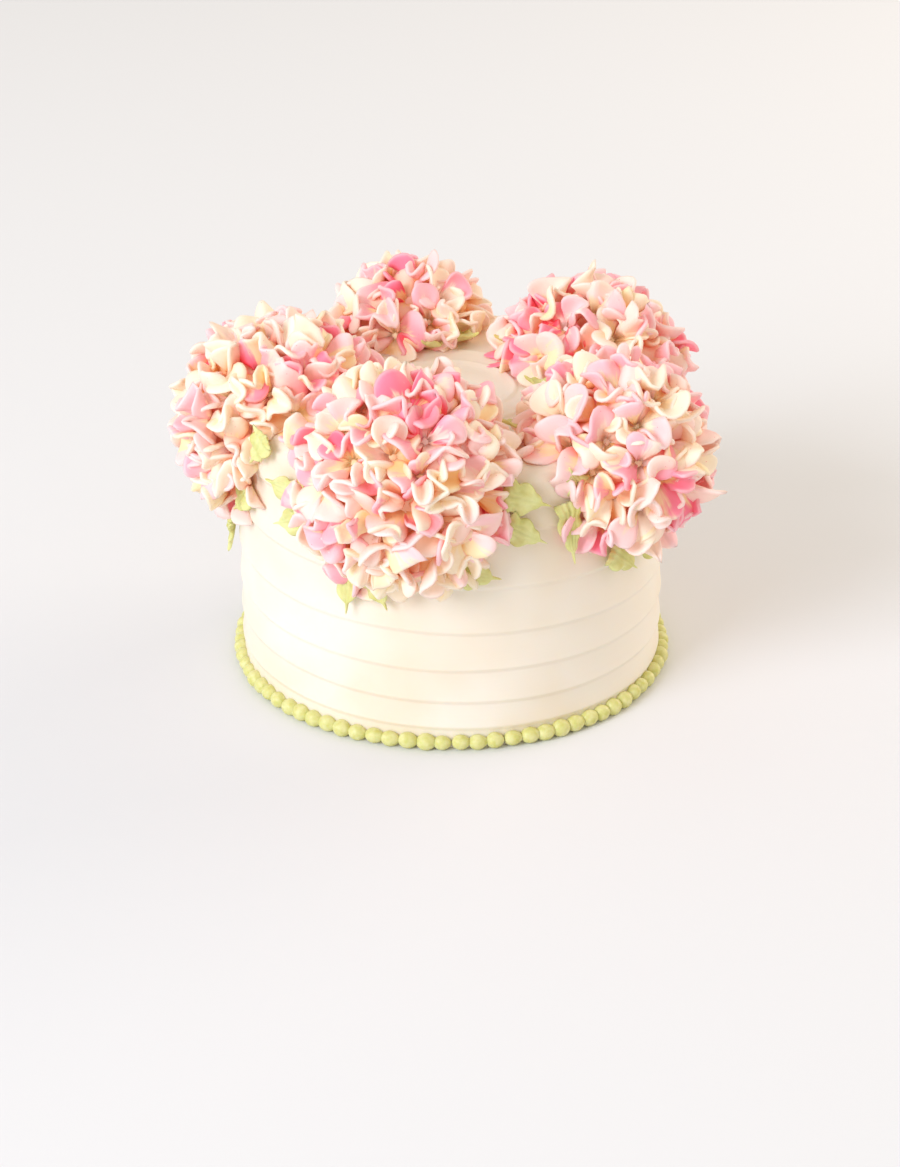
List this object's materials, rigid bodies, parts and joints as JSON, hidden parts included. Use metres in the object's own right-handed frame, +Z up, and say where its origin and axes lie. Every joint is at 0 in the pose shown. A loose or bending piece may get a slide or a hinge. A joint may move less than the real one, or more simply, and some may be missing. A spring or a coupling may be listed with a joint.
{
  "type": "decorated layer cake",
  "caption": "Round uncut cake in smooth ivory buttercream with a spiral ridge, crowned with a wreath of piped pink and cream hydrangea domes with pale green leaves, and a green pearl border.",
  "frame": {"origin": "middle of the cake's flat base, on its axis", "axes": "+Z up along the cake's axis, -Y towards the front, +X to the right seen from the front"},
  "size_m": [0.1978, 0.2102, 0.1435],
  "materials": {
    "icing": "satin ivory buttercream",
    "pearls": "satin pistachio green buttercream",
    "petals": "satin buttercream, pink and cream",
    "leaves": "satin pale green buttercream"
  },
  "bodies": {
    "root": {"iced_cake": "icing", "bead_border": "pearls", "hydrangea_front": "petals", "hydrangea_right": "petals", "hydrangea_back_right": "petals", "hydrangea_back_left": "petals", "hydrangea_left": "petals", "leaf_left_1": "leaves", "leaf_left_2": "leaves", "leaf_left_3": "leaves", "leaf_left_4": "leaves", "leaf_left_5": "leaves", "leaf_front_1": "leaves", "leaf_front_2": "leaves", "leaf_front_3": "leaves", "leaf_front_4": "leaves", "leaf_front_5": "leaves", "leaf_front_6": "leaves", "leaf_front_7": "leaves", "leaf_right_1": "leaves", "leaf_right_2": "leaves", "leaf_right_3": "leaves", "leaf_right_4": "leaves", "leaf_right_5": "leaves", "leaf_right_6": "leaves", "leaf_right_7": "leaves", "leaf_back_right_1": "leaves", "leaf_back_right_2": "leaves", "leaf_back_right_3": "leaves", "leaf_back_right_4": "leaves", "leaf_back_left_1": "leaves", "leaf_back_left_2": "leaves", "leaf_back_left_3": "leaves", "leaf_back_left_4": "leaves", "leaf_back_left_5": "leaves"}
  },
  "joints": []
}
